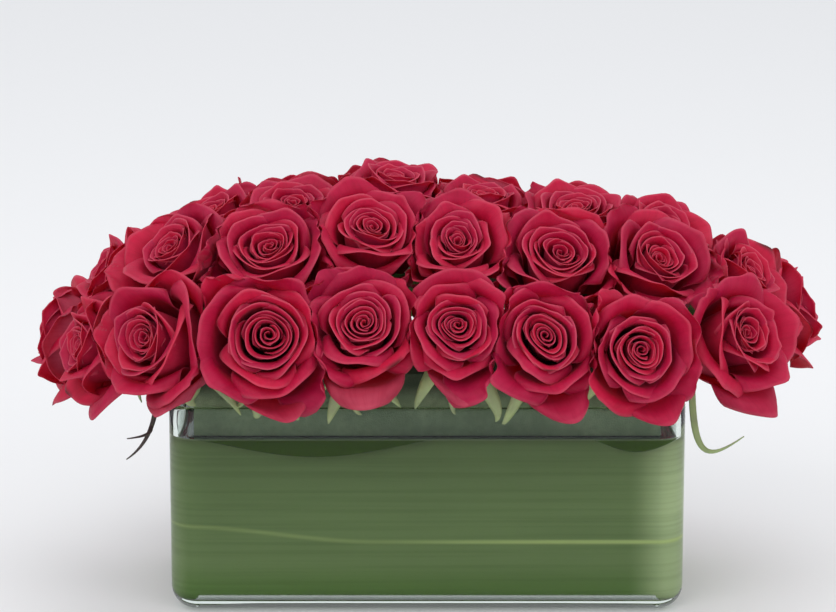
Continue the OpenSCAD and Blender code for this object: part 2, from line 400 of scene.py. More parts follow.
def leafMaterial(name, inner):
    n = Nodes(name)
    look = leafLook
    place = n.place()
    axes = n.parts(place)
    x, z = axes[0], axes[2]
    cloud = n.noise(n.stretch(place, (6, 6, 22)), 1.0, 4.0)
    veins = n.noise(n.stretch(place, (5, 5, 420)), 1.0, 2.0)
    if inner:
        colour = n.mix(n.ramp(cloud, 0.3, 0.7), look["inner"], look["innerLight"])
    else:
        colour = n.mix(n.ramp(z, 0.034, 0.012), look["leaf"], look["low"])
        # painted light: the blade is paler towards its ends, behind the rounded corners of the glass
        colour = n.mix(n.ramp(x, 0.118, 0.146), colour, look["side"])
        colour = n.mix(n.ramp(x, -0.140, -0.150, 0.0, 0.35), colour, look["side"])
        colour = n.mix(n.times(n.ramp(cloud, 0.35, 0.7), 0.25), colour, look["cloud"])
        # the midrib sinks a little from the left end and then runs level
        bend = n.times(n.ramp(x, -0.03, -0.145), look["ribRise"])
        drop = n.math("ABSOLUTE", n.math("SUBTRACT", n.math("SUBTRACT", z, look["ribAt"]), bend))
        rib = n.times(n.ramp(drop, 0.0021, 0.0002), n.ramp(x, -0.04, 0.09, 0.24, 0.8))
        colour = n.mix(rib, colour, look["rib"])
    colour = n.mix(n.times(n.ramp(veins, 0.4, 0.7), 0.16), colour, look["vein"])
    cut = n.ramp(z, waterHigh[2] - 0.7 * mm, waterHigh[2] + 0.1 * mm, 0.0, 0.6)
    colour = n.mix(cut, colour, look["cut"])
    return n.finish(n.principled({
        "Base Color": colour, "Roughness": 0.42, "Normal": n.bump(veins, 0.25, 0.0004),
        "Specular IOR Level": 0.04}))


# petals

petalTurn = math.radians(137.5)   # from one petal to the next
noNeighbour = 999.0               # mm

bloomLook = {
    "heart": 5,            # petals wound tightly in the middle
    "inner": 13,           # upright petals round it, give or take one
    "guard": 10,           # broad petals that open outwards
    "heartRadius": 4.4,    # how far out the rims of each whorl reach, mm
    "innerRadius": 16.0,
    "guardRadius": 28.5,
    "thickness": 0.45,     # of a petal, mm
    "press": 3.0,          # how early neighbouring blooms begin to press on each other, mm
    "apart": 0.25,         # how far from the middle between two blooms a petal ends, mm
    "nod": 0.15,           # how far the heart turns up from the bloom's axis
    "madeAt": 53.0,        # the height of a bloom that these sizes are for, mm
    "tall": 50.0,          # how high its petals reach, mm
    "settle": 9.5,         # how much lower a bloom opens that faces straight up, mm
    "offCentre": 3.2,      # how far the heart may stand to one side, mm
    "sunk": 0.05,          # how deep the heart may lie, as a share of the bloom's height
    "endsFrom": 145.0,     # blooms this far along the vase, mm, open less
    "endOpenness": 0.86,
    "warp": 0.8,           # how uneven the rings of petals are, mm
    "near": 110.0,         # how far off a neighbouring bloom is at most, mm
    "lowest": 175.0,       # nothing lies below the blooms seated under this height, mm
    "reach": 27.5,         # a petal grows to fill more room than this, mm
    "openAir": 68.0,       # and less than this, mm
    # how much longer a petal may grow to fill an open gap, mm
    "growth": {"crown": 5.0, "ends": 7.0, "others": 14.0},
    "dried": ("rose_left", "rose_right"),   # blooms with some dried tips
    # blooms whose lowest petal hangs down: how much longer it is, mm, how dusty (0 to 1), and how
    # far round to one side it hangs, in radians
    "tongues": {
        "rose_front_1": (-3, 1.0, 0.45), "rose_front_2": (-3, 0.5, 0.40), "rose_front_3": (5, 1.0, 0.05),
        "rose_front_4": (0, 0.8, 0.15), "rose_front_5": (4, 0.2, 0.38), "rose_front_6": (2, 0.1, 0.38),
        "rose_front_7": (3, 0.3, 0.15), "rose_back_2": (4, 0.6, -0.2), "rose_back_4": (5, 0.3, 0.2),
        "rose_back_5": (3, 0.9, -0.1)},
}
tongueShape = {"point": 4.0, "sweep": 0.82, "sideCurl": 1.0, "curl": 1.0, "taper": 0.55, "sideLip": -0.2,
               "pointWide": 0.4}


def whorlShape(k, inner, tall, sunk, down, room, most, rng):
    # The sizes of petal k, counted outwards, in mm and radians. sunk is how deep the heart lies, as a
    # share of the bloom's height. down is 1 where the petal hangs below the bloom and -1 above it.
    # room is how far it may reach out before it meets a neighbour, and most is how much longer it
    # may grow to fill that room.
    look = bloomLook
    heart, guard = look["heart"], look["guard"]
    if k < heart:
        q = (k + 1) / heart
        return dict(t=0.12 * q, grid=(19, 4, 5), foot=1.6 + q, low=0.45,
                    rim=0.5 + (look["heartRadius"] - 0.5) * q, top=tall * (0.95 + 0.01 * q - sunk),
                    bulge=1.25, lip=1.8 + q, curl=0.75 + 0.2 * q, sideCurl=0.25,
                    sweep=2.1 - 0.4 * q, spiral=0.8, shoulder=0.05, point=0.4, lean=0.0,
                    wave=0.15, shift=0.3, flare=0.0, taper=0.22, sideLip=0.25, pointWide=0.15)
    if k < heart + inner:
        q = (k - heart + 1) / inner
        rim = look["heartRadius"] + (look["innerRadius"] - look["heartRadius"]) * q
        top = 0.965 + 0.008 * math.sin(math.pi * q * 0.6) - sunk * (1 - q) ** 1.5
        return dict(t=0.12 + 0.40 * q, grid=(19, 4, 6), foot=2.8 + 1.6 * q, low=0.3, rim=rim,
                    top=tall * top, bulge=1.16 - 0.08 * q,
                    lip=2.4 + 3.4 * q, curl=rng.uniform(0.45, 0.95) + 0.2 * q, sideCurl=0.35 + 0.4 * q,
                    sweep=min((14.5 + 7.0 * q) / rim, 2.2), spiral=0.75, shoulder=0.08 + 0.06 * q,
                    point=rng.uniform(0.2, 1.0) + 0.8 * q, lean=rng.uniform(-0.03, 0.05) + 0.04 * q,
                    wave=0.35 + 0.3 * q, shift=0.4 + 0.4 * q, flare=1.5 * q,
                    taper=0.22, sideLip=0.25, pointWide=0.15)
    q = (k - heart - inner + 1) / guard
    rim = look["innerRadius"] + (look["guardRadius"] - look["innerRadius"]) * q
    hang = max(0.0, down)
    most *= 0.52 + 0.48 * down   # petals that rise grow least
    grow = min(max(room - look["reach"], 0.0), most) * math.sqrt(q) if room < look["openAir"] else 0.0
    return dict(t=0.52 + 0.48 * q, grid=(25, 7, 10), foot=4.4 + 1.6 * q, low=0.0,
                rim=rim + 0.3 * grow, top=tall * (0.945 - 0.205 * q) * (1 + 0.04 * hang),
                bulge=1.03 - 0.05 * q,
                lip=(6.5 + 6.0 * q) * rng.uniform(0.85, 1.15) * (1 + 0.1 * hang) + grow,
                curl=rng.uniform(0.6, 1.2) + 0.3 * q - 0.03 * grow,
                sideCurl=rng.uniform(0.6, 1.8) * (1 - 0.055 * grow),
                sweep=min((22.5 + 5.0 * q) * rng.uniform(0.9, 1.12) / rim, 1.3), spiral=0.9,
                shoulder=0.16 + 0.08 * q, point=rng.uniform(1.2, 3.8),
                lean=rng.uniform(-0.03, 0.07) + 0.08 * q + 0.12 * hang * q * q + 0.006 * grow,
                wave=rng.uniform(0.5, 1.6), shift=1.0, flare=0.8 + 2.8 * q,
                taper=0.25, sideLip=0.15, pointWide=0.2)


def petalShell(shape, turn, rng):
    # One petal as a closed shell, in mm, with the bloom's axis as Z.
    # Gives places, uv, quads, and side, which is 0 on the inner face and 1 on the outer.
    columns, bodyRows, lipRows = shape["grid"]
    foot, rim, top, low = shape["foot"], shape["rim"], shape["top"] + rng.uniform(-0.9, 0.9), shape["low"]
    bend = 0.62  # the share of v that the lip starts at
    v = np.concatenate([np.linspace(0, bend, bodyRows, endpoint=False), np.linspace(bend, 1, lipRows)])
    rows = len(v)
    u = np.linspace(-1, 1, columns)
    uu, vv = np.meshgrid(u, v, indexing="ij")
    aside = rng.uniform(-0.15, 0.15)   # the tip stands a little to one side
    off = np.abs(u - aside)

    # the petal's section is a curve up from the foot, which the lip continues as an arc
    a, b, c, d = np.array([[foot, 0.0], [foot + 0.75 * (rim - foot) + 1.0, 0.09 * top],
                           [rim * shape["bulge"] - shape["flare"], 0.6 * top], [rim, top]])
    share = low + (1 - low) * (1 - shape["shoulder"] * off ** 2.3)
    s = (low + (share[:, None] - low) * np.clip(vv / bend, 0, 1))[..., None]
    section = curveOf(a, b, c, d, s)
    e = share[:, None]
    slope = 3 * (b - a) * (1 - e) ** 2 + 6 * (c - b) * e * (1 - e) + 3 * (d - c) * e ** 2
    heading = np.arctan2(slope[:, 0], slope[:, 1])[:, None]
    lipLength = shape["lip"] * (1 + shape["sideLip"] * off ** 2)
    lipLength = lipLength + shape["point"] * np.exp(-(off / shape["pointWide"]) ** 2)
    curl = np.maximum(shape["curl"] + shape["sideCurl"] * off ** 1.7, 0.05)
    onLip = np.clip((vv - bend) / (1 - bend), 0, 1)
    angle = heading + curl[:, None] * onLip ** 1.15
    perMm = curl / lipLength
    r = section[..., 0] + np.where(onLip > 0, (np.cos(heading) - np.cos(angle)) / perMm[:, None], 0)
    z = section[..., 1] + np.where(onLip > 0, (np.sin(angle) - np.sin(heading)) / perMm[:, None], 0)

    # soft waves towards the rim, one side over the next petal and the other under the last
    cycles = rng.uniform(2.2, 4.2)
    wave = shape["wave"] * np.sin(cycles * uu + rng.uniform(0, 6.3)) * vv ** 3
    grow = np.clip(vv * 2.5, 0, 1)
    r = r + wave * 0.55 + shape["spiral"] * uu * grow
    z = z + wave * 0.5 + rng.uniform(-1.1, 1.1) * shape["t"] * uu * vv
    lean = shape["lean"]
    out = r - foot
    r, z = (foot + out * math.cos(lean) + z * math.sin(lean),
            z * math.cos(lean) - out * math.sin(lean))
    r = np.maximum(r, 0.25)
    width = 0.5 + 0.5 * np.sin(np.clip(vv / 0.5, 0, 1) * math.pi / 2)
    width = width * (1 - shape["taper"] * onLip ** 2.2)
    phi = turn + uu * shape["sweep"] * width
    sx, sy = rng.normal(0, shape["shift"], 2)
    front = np.stack([r * np.cos(phi) + sx * vv, r * np.sin(phi) + sy * vv, z], -1)

    thickness = bloomLook["thickness"] * (1.25 - 0.55 * vv)
    back = front + facesOut(front, 1e-9) * thickness[..., None]
    places = np.concatenate([front.reshape(-1, 3), back.reshape(-1, 3)])
    uv = np.stack([uu.ravel() * 0.5 + 0.5, vv.ravel()], -1)
    side = np.repeat([0.0, 1.0], columns * rows)
    return places, np.concatenate([uv, uv]), shellQuads(columns, rows), side


def basisOf(axis):
    # two directions square to the axis, the first as level as it can be
    level = np.cross([0, 0, 1.0], axis)
    if np.linalg.norm(level) < 0.15:
        level = np.array([1.0, 0, 0]) - axis * axis[0]
    level = level / np.linalg.norm(level)
    return level, np.cross(axis, level)


def middleOf(bloom):
    return bloom["seat"] + bloom["axis"] * bloom["height"] * 0.7 * mm


def nearTo(name):
    # the blooms beside this one, and the way and the distance to the middle between the two
    own = blooms[name]
    beside = []
    for other, far in blooms.items():
        way = middleOf(far) - middleOf(own)
        gap = np.linalg.norm(way)
        if other != name and gap < bloomLook["near"] * mm:
            beside.append((other, way / gap, gap / mm * own["height"] / (own["height"] + far["height"])))
    return beside


def roomTowards(own, beside, out):
    # how far a petal that points out may reach before it meets a neighbour, mm
    if own["seat"][2] < bloomLook["lowest"] * mm and out[2] < -0.35:
        return noNeighbour
    return min([middle / (out @ way) for other, way, middle in beside if out @ way > 0.66],
               default=noNeighbour)


def onAxis(bloom, places):
    # the point nearest to each place on the upper four fifths of a bloom's axis
    height = bloom["height"] * mm
    up = np.clip((places - bloom["seat"]) @ bloom["axis"], 0.2 * height, height)
    return bloom["seat"] + up[:, None] * bloom["axis"]


def pressBetween(name, beside, places):
    # Blooms press on their neighbours: what reaches over the middle between two axes is pushed
    # back. The middle waves a little, the same way for both, so the petals interlock.
    own = blooms[name]
    reach = bloomLook["press"] * mm
    for other, *rest in beside:
        far = blooms[other]
        share = own["height"] / (own["height"] + far["height"])
        mine = onAxis(own, places)
        between = onAxis(far, places) - mine
        length = np.linalg.norm(between, axis=1)
        between /= np.maximum(length, 1e-6)[:, None]
        ripple = np.sin(places @ np.array([230.0, 310.0, 260.0]))
        ripple = ripple + np.sin(places @ np.array([-140.0, 90.0, 170.0]) + 1.3)
        ripple = ripple * 1.5 * mm * (1 if name < other else -1)
        over = ((places - mine) * between).sum(1) - share * length - ripple - bloomLook["apart"] * mm
        pushed = -reach + reach * (1 - np.exp(-(over + reach) / reach))
        change = np.where(over > -reach, pushed - over, 0)
        places = places + between * change[:, None]
    return places


def makeUneven(local, own, tall, rng):
    # no bloom is quite round: its middle is drawn in a little, one way more than the other
    way = rng.uniform(0, math.pi)
    narrow = np.array([math.cos(way), math.sin(way)])
    radius = np.hypot(local[:, 0], local[:, 1])
    drawn = (local[:, :2] @ narrow) * rng.uniform(0.04, 0.22) * np.exp(-(radius / 20) ** 4)
    local[:, :2] -= drawn[:, None] * narrow
    # its heart stands a little to one side, and its rings are not even
    heartWay = rng.uniform(0.2, math.pi - 0.2) if own["axis"][2] < 0.6 else rng.uniform(0, 2 * math.pi)
    height = local[:, 2] / tall
    heartStep = bloomLook["offCentre"] * rng.uniform(0.3, 1.0) * np.exp(-(radius / 17) ** 2) * height
    phase = rng.uniform(0, 2 * math.pi, 4)
    uneven = bloomLook["warp"] * np.clip(radius / 7, 0, 1) * height
    stepX = uneven * (np.sin(local[:, 1] / 6.3 + phase[0]) + 0.5 * np.sin(local[:, 1] / 3.4 + phase[1]))
    stepY = uneven * (np.sin(local[:, 0] / 6.8 + phase[2]) + 0.5 * np.sin(local[:, 0] / 3.7 + phase[3]))
    local[:, 0] += heartStep * math.cos(heartWay) + stepX
    local[:, 1] += heartStep * math.sin(heartWay) + stepY


def makeBloom(name, seed):
    rng = np.random.default_rng(seed)
    own = blooms[name]
    look = bloomLook
    unit = own["height"] / look["madeAt"]
    nod = look["nod"] * max(0.0, 1 - max(own["axis"][2], 0) / 0.9)
    axis = own["axis"] + np.array([0, 0, nod]) + rng.normal(0, 0.05, 3)
    axis /= np.linalg.norm(axis)
    level, across = basisOf(axis)
    inner = look["inner"] + int(rng.integers(-1, 2))
    total = look["heart"] + inner + look["guard"]
    beside = nearTo(name)
    tall = look["tall"] - look["settle"] * max(0.0, own["axis"][2])
    # the last petal hangs lowest, a little to one side
    start = -math.pi / 2 - (total - 1) * petalTurn + rng.uniform(-0.7, 0.7)
    openness = rng.uniform(0.9, 1.08)
    sunk = look["sunk"] * rng.uniform(0, 1)
    crown = own["axis"][2] > 0.6 and own["axis"][1] > -0.3
    most = look["growth"]["crown" if crown else "others"]
    if abs(own["seat"][0]) > look["endsFrom"] * mm:
        openness *= look["endOpenness"]
        most = look["growth"]["ends"]
    allPlaces, allUv, allQuads, allColour = [], [], [], []
    count = 0
    for k in range(total):
        turn = start + k * petalTurn + rng.uniform(-0.16, 0.16)
        out = level * math.cos(turn) + across * math.sin(turn)
        shape = whorlShape(k, inner, tall, sunk, -out[2], roomTowards(own, beside, out) / unit, most, rng)
        shape["rim"] *= openness
        dusty = 0.0
        if k == total - 1 and name in look["tongues"]:
            # the lowest petal hangs over the rim of the vase as a pointed tongue
            longer, dusty, aside = look["tongues"][name]
            turn = -math.pi / 2 + aside
            shape.update(tongueShape, lip=shape["lip"] + longer)
        places, uv, quads, side = petalShell(shape, turn, rng)
        tone = rng.uniform(0, 1)
        if k > total - 5 and name.startswith(look["dried"]) and rng.uniform(0, 1) < 0.5:
            tone = 0.98   # over petalLook's dryFrom
        allPlaces.append(places)
        allUv.append(uv)
        allQuads.append(quads + count)
        same = np.ones(len(side))
        allColour.append(np.stack([side, same * tone, same * shape["t"], same * dusty], -1))
        count += len(places)
    local = np.concatenate(allPlaces)
    makeUneven(local, own, tall, rng)
    local[:, :2] /= math.sqrt(unit)   # small blooms open wider for their height
    local *= unit * mm
    places = own["seat"] + local[:, :1] * level + local[:, 1:2] * across + local[:, 2:] * axis
    places = pressBetween(name, beside, places)
    quads = np.concatenate(allQuads)
    piece = quadMesh(name + "_petals", places, quads)
    setUv(piece.data, np.concatenate(allUv), quads)
    setColour(piece.data, np.concatenate(allColour))
    piece.data.materials.append(rosePetals)
    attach(piece, "arrangement")
    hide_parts(name)


rosePetals = petalMaterial()
for seed, bloomName in enumerate(bloomNames):
    makeBloom(bloomName, 100 + seed)
print("stage: blooms made")


# stems, hips and sepals

stemSizes = {                # radii and lengths, mm
    "thick": 2.9,
    "end": 0.4,
    "neck": 9.0,             # how far under the seat of the petals the hip begins
    "hip": {0.35: 4.6, 0.6: 6.4, 0.85: 7.1, 0.97: 6.6, 0.995: 0.6},   # radius by share of its height
    "sepals": 5,
    "sepal": 27.0,
    "sepalWidth": 4.3,
    "foot": 5.6,             # how far from the axis a sepal springs
}


def ringQuads(rings, sides):
    # the quads between closed rings of points
    quads = []
    for i in range(rings - 1):
        for j in range(sides):
            k = (j + 1) % sides
            quads.append((i * sides + j, i * sides + k, (i + 1) * sides + k, (i + 1) * sides + j))
    return quads


def tube(points, radii, sides=12):
    # a closed tube along points, with its rings square to the way
    points = np.asarray(points)
    way = np.gradient(points, axis=0)
    way /= np.linalg.norm(way, axis=1, keepdims=True)
    first = np.cross(way[0], [0.3, 0.5, 0.81])
    first /= np.linalg.norm(first)
    verts = []
    angles = np.linspace(0, 2 * math.pi, sides, endpoint=False)
    for place, direction, radius in zip(points, way, radii):
        first = first - direction * (first @ direction)
        first /= np.linalg.norm(first)
        second = np.cross(direction, first)
        verts.append(place + radius * (np.cos(angles)[:, None] * first + np.sin(angles)[:, None] * second))
    return np.concatenate(verts), ringQuads(len(points), sides)


def sepalPath(own, turn, length, rng):
    # a way that springs from the top of the hip and arches out, then down by its weight
    level, across = basisOf(own["axis"])
    out = level * math.cos(turn) + across * math.sin(turn)
    first = out + 0.1 * own["axis"]
    first /= np.linalg.norm(first)
    last = np.array([0, 0, -1.0]) - 0.45 * own["axis"] + 0.15 * out + rng.normal(0, 0.15, 3)
    last /= np.linalg.norm(last)
    ripple = rng.uniform(0, 6)
    places = [out * stemSizes["foot"] - own["axis"] * 1.2]
    for s in np.linspace(0, 1, 14):
        w = min(s / 0.75, 1.0) ** 1.2
        way = first * (1 - w) + last * w + 0.3 * own["axis"] * math.sin(s * 6 + ripple) * s
        places.append(places[-1] + way / np.linalg.norm(way) * length / 14)
    return np.array(places) * mm + own["seat"], out + 0.4 * own["axis"] + np.array([0, 0, 0.3])


# leaves left on the upper part of the stems, deep between the blooms; sizes in mm
foliage = {
    "rows": ("stems_upper_front", "stems_crown", "stems_upper_back"),
    "count": 5,
    "length": 44.0,
    "halfWidth": 13.0,
    "below": (2.0, 12.0),    # how far under the hip a leaf springs from the stem
    "droop": (0.0, 35.0),    # degrees, at its foot and at its tip
}


def leafPath(own, turn, rng):
    # a way that springs level from the stem and droops towards its tip, and the side the leaf faces
    out = np.array([math.cos(turn), math.sin(turn), 0.0])
    aside = np.array([-math.sin(turn), math.cos(turn), 0.0])
    length = foliage["length"] * rng.uniform(0.8, 1.1)
    places = [own["seat"] / mm - own["axis"] * rng.uniform(*foliage["below"]) + out * 2.0]
    for drop in np.radians(np.linspace(*foliage["droop"], 14)):
        places.append(places[-1] + (out * math.cos(drop) - np.array([0, 0, math.sin(drop)])) * length / 14)
    return np.array(places) * mm, aside * rng.choice([-0.9, 0.9]) + np.array([0, 0, 0.6])


def pointedStrip(path, facing, width, tint, rng):
    # a thin pointed strip along path, hollow on the side that faces its plant
    steps, wide = len(path), 5
    twist = rng.uniform(-0.8, 0.8)
    ways = np.gradient(path, axis=0)
    front = []
    for i, (place, way) in enumerate(zip(path, ways)):
        s = i / (steps - 1)
        way = way / np.linalg.norm(way)
        sidewise = np.cross(way, facing)
        sidewise /= np.linalg.norm(sidewise)
        sidewise = sidewise * math.cos(twist * s) + np.cross(way, sidewise) * math.sin(twist * s)
        over = np.cross(way, sidewise)
        half = (width * (math.sin(math.pi * (0.2 + 0.8 * s)) ** 0.8 * (1 - 0.3 * s)) + 0.15) * mm
        front.append([place + sidewise * q * half + over * abs(q) ** 2 * half * 0.35
                      for q in np.linspace(-1, 1, wide)])
    front = np.array(front)
    back = front - facesOut(front, 1e-12) * 0.5 * mm
    places = np.concatenate([front.reshape(-1, 3), back.reshape(-1, 3)])
    return places, shellQuads(steps, wide), np.repeat([tint, tint * 0.4], steps * wide)


# Single sepals that dangle: how far they fall and bend, then where their tips come to aside and
# forward, in mm, and how pale and withered they are, 0 to 1.
strays = {
    "rose_left_1": {"way": (66, 1.1, -19, 20), "halfWidth": 1.5,
                    "pale": 0.0, "withered": 1.0, "forks": True},
    "rose_front_7": {"way": (58, 2.2, 30, 19), "halfWidth": 1.9,
                     "pale": 0.9, "withered": 0.0, "forks": False},
}
fork = {"at": 14, "way": (6, 1.1, -14, 8), "halfWidth": 0.8}

# in the front row some of the five sepals hang down to the rim, with their tips in a fan; mm
hanging = {
    "row": "stems_front",
    "count": 3,               # to each bloom that stands over the glass
    "fan": 21.0,              # from one tip to the next
    "strayed": 5.0,           # how uneven the fan is
    "proud": (9.0, 20.0),     # in front of the glass
    "overRim": (-6.0, 8.0),   # how high the tips lie
    "halfWidth": (3.8, 6.8),
}


def danglingPath(start, hang, bend, aside, forward):
    # drops from its start, swings aside, and lifts its tip where the bend is large
    q = np.linspace(0, 1, 24)
    return start + np.stack([aside * q ** 3, -forward * q, -hang * np.sin(bend * q)], -1) * mm


def hangingTip(seat, k, rng):
    # where the tip of a hanging sepal lies, from the top of the hip, in mm
    across = (k - (hanging["count"] - 1) / 2) * hanging["fan"] + rng.normal(0, hanging["strayed"])
    frontOfGlass = vaseLow[1] / mm - rng.uniform(*hanging["proud"])
    height = vaseHigh[2] / mm + rng.uniform(*hanging["overRim"])
    return np.array([across, frontOfGlass - seat[1] / mm, height - seat[2] / mm])


towardsFront = np.array([0.2, -1.0, 0.3])


def stripsOf(name, own, stemName, rng):
    # the sepals and leaves of one bloom: way, facing, half width, how pale, how withered
    seat, axis = own["seat"], own["axis"]
    strips = []
    hangs = hanging["count"] if stemName == hanging["row"] and abs(seat[0]) < vaseHigh[0] else 0
    for k in range(hangs, stemSizes["sepals"]):
        turn = k * 2 * math.pi / stemSizes["sepals"] - math.pi / 2 + rng.uniform(-0.3, 0.3)
        path, facing = sepalPath(own, turn, stemSizes["sepal"] * rng.uniform(0.8, 1.15), rng)
        strips.append((path, facing, stemSizes["sepalWidth"] * rng.uniform(0.8, 1.1), 0.9, 0.0))
    for k in range(foliage["count"] if stemName in foliage["rows"] else 0):
        turn = k * 2 * math.pi / foliage["count"] + rng.uniform(-0.3, 0.3)
        path, facing = leafPath(own, turn, rng)
        strips.append((path, facing, foliage["halfWidth"] * rng.uniform(0.8, 1.1), 0.0, 0.0))
    for k in range(hangs):
        tip = hangingTip(seat, k, rng)
        out = tip / np.linalg.norm(tip)
        bent = tip * 0.85 + axis * 5 + rng.normal(0, 5, 3)
        ends = [out * stemSizes["foot"], out * 18 + axis * 7, bent, tip]
        half = rng.uniform(*hanging["halfWidth"])
        path = curveOf(*(np.array(ends) * mm + seat), np.linspace(0, 1, 18)[:, None])
        strips.append((path, towardsFront, half, 1.0, 0.0))
    if name in strays:
        stray = strays[name]
        path = danglingPath(seat, *stray["way"])
        strips.append((path, towardsFront, stray["halfWidth"], stray["pale"], stray["withered"]))
        if stray["forks"]:
            twig = danglingPath(path[fork["at"]], *fork["way"])
            strips.append((twig, towardsFront, fork["halfWidth"], stray["pale"], stray["withered"]))
    return strips


def stemAndHip(own):
    # a gently bent stem from its end in the foam to the neck, and then the hip up to the seat
    seat, start = own["seat"], own["stemEnd"]
    neck = seat - own["axis"] * stemSizes["neck"] * mm
    straight = neck - start
    bend = neck - own["axis"] * 0.22 * np.linalg.norm(straight)
    stem = curveOf(start, start + straight * 0.6, bend, neck, np.linspace(0, 1, 22)[:, None])
    path = np.concatenate([stem, [neck + (seat - neck) * q for q in stemSizes["hip"]]])
    radii = np.linspace(stemSizes["thick"], stemSizes["thick"] + 0.3, len(stem))
    radii[0] = stemSizes["end"]
    return tube(path, np.concatenate([radii, list(stemSizes["hip"].values())]) * mm)


stemGreen = stemMaterial()
for stemName in stemNames:
    rng = np.random.default_rng(sum(map(ord, stemName)))
    shells = []
    for bloomName, own in blooms.items():
        if own["stemNode"] == stemName:
            places, quads = stemAndHip(own)
            shells.append((places, quads, np.full(len(places), 0.15), 0.0))
            for path, facing, width, tint, withered in stripsOf(bloomName, own, stemName, rng):
                shells.append((*pointedStrip(path, facing, width, tint, rng), withered))
    faces = []
    count = 0
    for places, quads, tints, withered in shells:
        faces.extend([tuple(int(i) + count for i in q) for q in quads])
        count += len(places)
    piece = makeMesh(stemName + "_green", np.concatenate([shell[0] for shell in shells]), faces)
    tint = np.concatenate([shell[2] for shell in shells])
    dried = np.concatenate([np.full(len(shell[2]), shell[3]) for shell in shells])
    setColour(piece.data, np.stack([tint, dried, tint, np.ones(len(tint))], -1))
    piece.data.materials.append(stemGreen)
    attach(piece, "arrangement")
    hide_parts(stemName)
print("stage: stems made")


# foam

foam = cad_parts["foam_block"]
foam.data.materials.clear()
foam.data.materials.append(foamMaterial())


# the glass

vaseSizes = {
    "wall": 5.0,          # mm, and the other sizes too
    "base": 8.0,
    "corner": 16.0,       # radius of the upright edges
    "foot": 14.0,         # radius of the lower edges
    "innerFoot": 6.0,
    "rim": 2.1,           # how round the rim is
}
halfLong = vaseHigh[0] / mm
halfDeep = vaseHigh[1] / mm
tallVase = vaseHigh[2] / mm


def roundedLoop(long, deep, radius, cornerSteps=10, longSteps=40, deepSteps=16):
    # a level loop of points round a rounded rectangle, anticlockwise seen from above
    radius = max(radius, 0.05)
    points = []
    corners = [(long - radius, -deep + radius, -90), (long - radius, deep - radius, 0),
               (-long + radius, deep - radius, 90), (-long + radius, -deep + radius, 180)]
    steps = [deepSteps, longSteps, deepSteps, longSteps]
    for i, (x, y, start) in enumerate(corners):
        for k in range(cornerSteps + 1):
            angle = math.radians(start + 90 * k / cornerSteps)
            points.append((x + radius * math.cos(angle), y + radius * math.sin(angle)))
        nextX, nextY, nextStart = corners[(i + 1) % 4]
        angle = math.radians(nextStart)
        toX, toY = nextX + radius * math.cos(angle), nextY + radius * math.sin(angle)
        fromX, fromY = points[-1]
        for k in range(1, steps[i]):
            q = k / steps[i]
            points.append((fromX + (toX - fromX) * q, fromY + (toY - fromY) * q))
    return points


def loft(name, levels, capped=True):
    # a shell through level loops; each level is (half length, half depth, corner radius, height)
    loops = [[(x * mm, y * mm, z * mm) for x, y in roundedLoop(a, b, r)] for a, b, r, z in levels]
    n = len(loops[0])
    faces = ringQuads(len(loops), n)
    if capped:
        faces.append(tuple(reversed(range(n))))
        faces.append(tuple(range((len(loops) - 1) * n, len(loops) * n)))
    return makeMesh(name, [p for loop in loops for p in loop], faces)


def inset(amount, z, radius=None):
    base = vaseSizes["corner"] if radius is None else radius
    return (halfLong - amount, halfDeep - amount, max(base - amount, 0.3), z)


levels = [inset(vaseSizes["foot"] + 3, 0, 18)]
for k in range(9):
    angle = math.radians(90 * k / 8)
    cut = vaseSizes["foot"] * (1 - math.sin(angle))
    levels.append(inset(cut, vaseSizes["foot"] * (1 - math.cos(angle))))
for z in np.linspace(vaseSizes["foot"], tallVase - vaseSizes["rim"], 14)[1:]:
    levels.append(inset(0, z))
half = vaseSizes["wall"] / 2
for k in range(1, 8):
    angle = math.radians(180 * k / 8)
    levels.append(inset(half - half * math.cos(angle), tallVase - vaseSizes["rim"] * (1 - math.sin(angle))))
innerFloor = vaseSizes["base"]
for z in np.linspace(tallVase - vaseSizes["rim"], innerFloor + vaseSizes["innerFoot"], 14):
    levels.append(inset(vaseSizes["wall"], z))
for k in range(1, 7):
    angle = math.radians(90 * k / 6)
    levels.append(inset(vaseSizes["wall"] + vaseSizes["innerFoot"] * (1 - math.cos(angle)),
                        innerFloor + vaseSizes["innerFoot"] * (1 - math.sin(angle)), 17))
glass = loft("vase_glass", levels)
glass.data.materials.append(clearMaterial("clearGlass", glassLook))
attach(glass, "vase")
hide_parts("vase")
print("stage: vase made")


# the leaf lining

liningSizes = {
    "into": 0.05,         # how far the wet leaf sits in the face of the glass, mm
    "thick": 0.6,
    "apart": 0.12,        # the inner leaf lies this far behind the outer ones
    "rows": 16,           # of points down a leaf, then round the foot
    "footRows": 6,
    "footTurn": 78.0,     # how far the leaf goes round the foot, degrees
}


